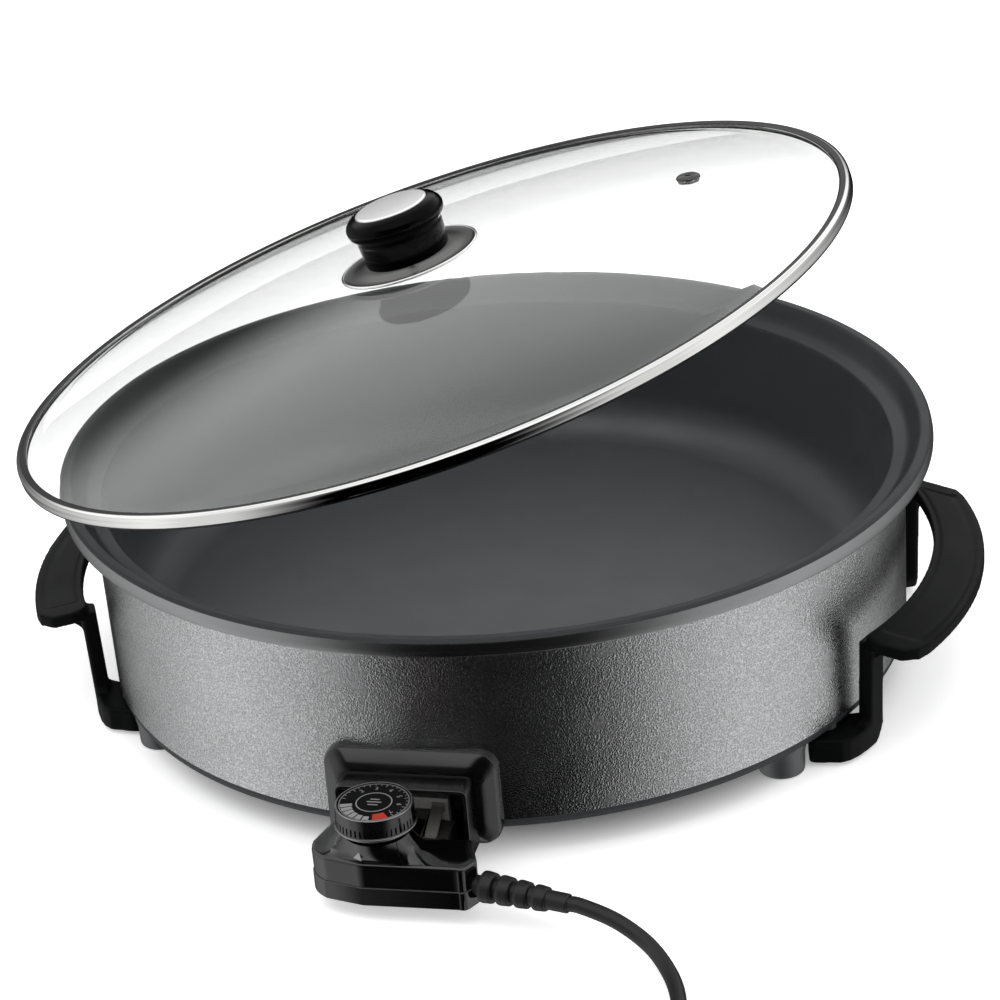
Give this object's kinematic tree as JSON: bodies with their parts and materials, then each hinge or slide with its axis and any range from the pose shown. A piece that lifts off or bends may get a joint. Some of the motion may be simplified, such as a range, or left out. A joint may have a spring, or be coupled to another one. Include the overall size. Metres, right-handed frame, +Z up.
{
  "type": "electric pizza pan",
  "caption": "Round cast electric pizza pan on feet with crescent side handles, a lift-off domed glass lid with knob, and a plug-in dial heat controller on a mains cord",
  "frame": {"origin": "on the table under the pan's axis", "axes": "+Z up, -Y towards the controller at the front, +X towards the right handle"},
  "size_m": [0.472, 0.6595, 0.2434],
  "materials": {
    "cast_pan": "hammered grey enamel outside, smooth grey non-stick inside",
    "element_sheath": "dull heat-tinted sheath",
    "plated_pin": "plated, satin",
    "ceramic": "fired ceramic, matt",
    "dark_ceramic": "moulded phenolic, satin",
    "spring_metal": "plated spring strip",
    "brass_socket": "plain brass",
    "guard_plastic": "phenolic, semi-gloss",
    "handle_plastic": "phenolic, matt",
    "screw_steel": "zinc plated",
    "lid_glass": "clear tempered glass",
    "polished_band": "polished stainless steel",
    "polished_disc": "polished stamped steel",
    "mirror_cap": "mirror cap",
    "silicone": "matt silicone",
    "gloss_black": "phenolic, glossy",
    "dial_black": "phenolic, semi-gloss with a bright rim",
    "dial_plate": "printed metal disc with a heat scale",
    "cord_rubber": "black flexible sheath",
    "tie_plastic": "coated wire tie"
  },
  "bodies": {
    "pan": {"pan_body": "cast_pan", "heating_element": "element_sheath", "terminal_pins": "plated_pin", "pin_bushes": "ceramic", "ceramic_plate": "ceramic", "earth_contact": "spring_metal", "connector_guard": "guard_plastic", "guard_screws": "screw_steel", "handle_right": "handle_plastic", "handle_left": "handle_plastic", "handle_screws": "screw_steel"},
    "lid": {"lid_glass": "lid_glass", "lid_rim_band": "polished_band", "steam_vent": "polished_band", "knob_base_disc": "polished_disc", "knob_seals": "silicone", "lid_knob": "gloss_black", "knob_cap": "mirror_cap", "knob_screw": "screw_steel"},
    "controller": {"controller_upper_shell": "gloss_black", "controller_lower_shell": "gloss_black", "contact_block": "dark_ceramic", "contact_sockets": "brass_socket", "probe_tube": "plated_pin", "thermostat_frame": "screw_steel", "bimetal_strip": "spring_metal", "contact_blades": "brass_socket", "controller_screws": "screw_steel", "strain_relief": "cord_rubber", "cord": "cord_rubber", "cord_coil": "cord_rubber", "coil_tie": "tie_plastic", "plug_body": "cord_rubber", "plug_pins": "plated_pin", "plug_earth_clips": "spring_metal"},
    "dial": {"dial_shaft": "screw_steel", "dial_knob": "dial_black", "dial_face": "dial_plate"}
  },
  "joints": [
    {"name": "lid_lift", "type": "hinge", "parent": "pan", "child": "lid", "pos_m": [-0.2461, 0, 0.0512], "axis": [0, -1, 0], "range_deg": [-15.2, 60]},
    {"name": "controller_slide", "type": "slide", "parent": "pan", "child": "controller", "axis": [0, -1, 0], "range_m": [0, 0.06]},
    {"name": "dial_turn", "type": "hinge", "parent": "controller", "child": "dial", "pos_m": [-0.0057, -0.2385, 0.045], "axis": [0, 0, -1], "range_deg": [0, 270]}
  ]
}
